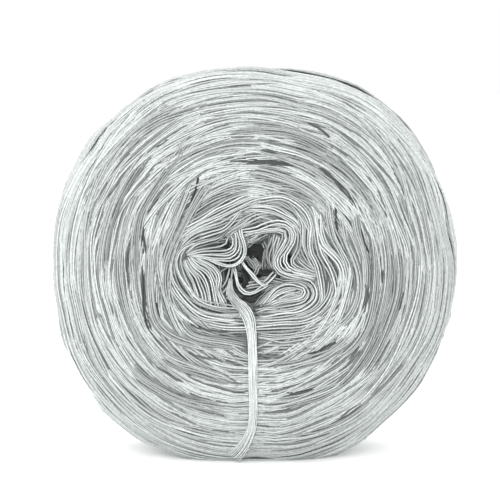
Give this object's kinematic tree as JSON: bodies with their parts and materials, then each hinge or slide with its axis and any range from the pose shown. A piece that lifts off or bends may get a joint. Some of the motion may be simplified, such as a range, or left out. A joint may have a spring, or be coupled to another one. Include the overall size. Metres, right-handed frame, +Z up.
{
  "type": "yarn cake",
  "caption": "Flat, round-shouldered ball of fine yarn wound from the middle outwards, standing on its rim, with crumpled hollows in its end faces and a loose yarn end down the front.",
  "frame": {"origin": "on the surface below the middle of the wound cake, which stands on its rim", "axes": "+Z up, +Y along the winding axis from the front end face to the back one, +X to the right seen from the front"},
  "size_m": [0.1422, 0.0765, 0.1343],
  "materials": {
    "wound_yarn": "matt spun yarn, pale silver grey",
    "yarn_end": "matt spun yarn, pale silver grey, lying flat and so a little lighter"
  },
  "bodies": {
    "root": {"wound_cake": "wound_yarn", "yarn_end": "yarn_end"}
  },
  "joints": []
}
